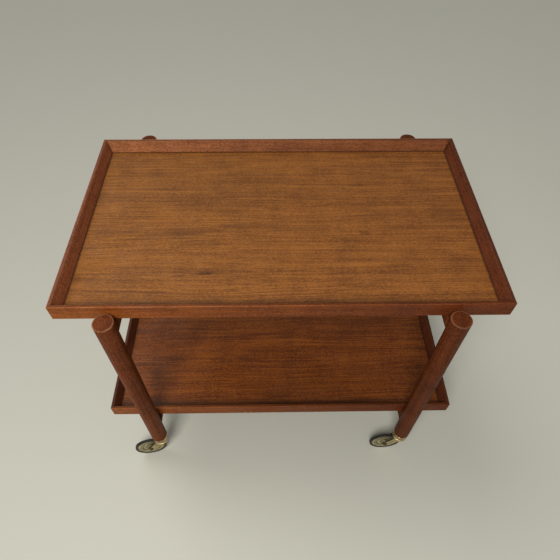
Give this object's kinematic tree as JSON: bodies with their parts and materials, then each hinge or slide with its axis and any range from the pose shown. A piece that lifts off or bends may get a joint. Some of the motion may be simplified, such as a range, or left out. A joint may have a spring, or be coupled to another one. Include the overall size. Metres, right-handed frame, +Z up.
{
  "type": "bar cart on wheels",
  "caption": "Low wooden serving cart: stacked rimmed trays between round legs on swivelling brass casters; the top tray lifts off.",
  "frame": {"origin": "on the floor, under the middle of the cart", "axes": "+X along the trays, towards the right seen from the front; the front is towards -Y; +Z up"},
  "size_m": [0.76, 0.52, 0.592],
  "materials": {
    "floor_veneer": "oiled satin",
    "rim_wood": "oiled satin",
    "leg_wood": "oiled satin",
    "brass": "tarnished",
    "steel": "dull",
    "nylon": "matte",
    "tyre": "worn rubber"
  },
  "bodies": {
    "frame": {"leg_front_left": "leg_wood", "leg_front_right": "leg_wood", "leg_rear_left": "leg_wood", "leg_rear_right": "leg_wood", "upper_rail_left": "leg_wood", "upper_rail_right": "leg_wood", "lower_rail_left": "leg_wood", "lower_rail_right": "leg_wood", "lower_tray_floor": "floor_veneer", "lower_rim_front": "rim_wood", "lower_rim_rear": "rim_wood", "lower_rim_left": "rim_wood", "lower_rim_right": "rim_wood", "tray_screw_front_left": "steel", "tray_screw_front_right": "steel", "tray_screw_rear_left": "steel", "tray_screw_rear_right": "steel", "foot_cup_front_left": "brass", "foot_cup_front_right": "brass", "foot_cup_rear_left": "brass", "foot_cup_rear_right": "brass", "swivel_pin_front_left": "steel", "swivel_pin_front_right": "steel", "swivel_pin_rear_left": "steel", "swivel_pin_rear_right": "steel"},
    "upper_tray": {"upper_tray_floor": "floor_veneer", "upper_rim_front": "rim_wood", "upper_rim_rear": "rim_wood", "upper_rim_left": "rim_wood", "upper_rim_right": "rim_wood", "tray_batten_left": "rim_wood", "tray_batten_right": "rim_wood"},
    "caster_front_left": {"fork_front_left": "brass", "thrust_washer_front_left": "nylon", "axle_front_left": "steel"},
    "wheel_front_left": {"wheel_disc_front_left": "brass", "tyre_front_left": "tyre", "wheel_bush_front_left": "steel"},
    "caster_front_right": {"fork_front_right": "brass", "thrust_washer_front_right": "nylon", "axle_front_right": "steel"},
    "wheel_front_right": {"wheel_disc_front_right": "brass", "tyre_front_right": "tyre", "wheel_bush_front_right": "steel"},
    "caster_rear_left": {"fork_rear_left": "brass", "thrust_washer_rear_left": "nylon", "axle_rear_left": "steel"},
    "wheel_rear_left": {"wheel_disc_rear_left": "brass", "tyre_rear_left": "tyre", "wheel_bush_rear_left": "steel"},
    "caster_rear_right": {"fork_rear_right": "brass", "thrust_washer_rear_right": "nylon", "axle_rear_right": "steel"},
    "wheel_rear_right": {"wheel_disc_rear_right": "brass", "tyre_rear_right": "tyre", "wheel_bush_rear_right": "steel"}
  },
  "joints": [
    {"name": "upper_tray_lift", "type": "slide", "parent": "frame", "child": "upper_tray", "axis": [0, 0, 1], "range_m": [0, 0.12]},
    {"name": "caster_turn_front_left", "type": "hinge", "parent": "frame", "child": "caster_front_left", "pos_m": [-0.289, -0.2425, 0.08006], "axis": [0, 0, 1], "continuous": true},
    {"name": "wheel_spin_front_left", "type": "hinge", "parent": "caster_front_left", "child": "wheel_front_left", "pos_m": [-0.31944, -0.24836, 0.03686], "axis": [0.1891, -0.982, 0], "continuous": true},
    {"name": "caster_turn_front_right", "type": "hinge", "parent": "frame", "child": "caster_front_right", "pos_m": [0.289, -0.2425, 0.08006], "axis": [0, 0, 1], "continuous": true},
    {"name": "wheel_spin_front_right", "type": "hinge", "parent": "caster_front_right", "child": "wheel_front_right", "pos_m": [0.258, -0.24304, 0.03686], "axis": [0.0175, -0.9998, 0], "continuous": true},
    {"name": "caster_turn_rear_left", "type": "hinge", "parent": "frame", "child": "caster_rear_left", "pos_m": [-0.289, 0.2425, 0.08006], "axis": [0, 0, 1], "continuous": true},
    {"name": "wheel_spin_rear_left", "type": "hinge", "parent": "caster_rear_left", "child": "wheel_rear_left", "pos_m": [-0.31944, 0.24836, 0.03686], "axis": [-0.1891, -0.982, 0], "continuous": true},
    {"name": "caster_turn_rear_right", "type": "hinge", "parent": "frame", "child": "caster_rear_right", "pos_m": [0.289, 0.2425, 0.08006], "axis": [0, 0, 1], "continuous": true},
    {"name": "wheel_spin_rear_right", "type": "hinge", "parent": "caster_rear_right", "child": "wheel_rear_right", "pos_m": [0.258, 0.24304, 0.03686], "axis": [-0.0175, -0.9998, 0], "continuous": true}
  ]
}
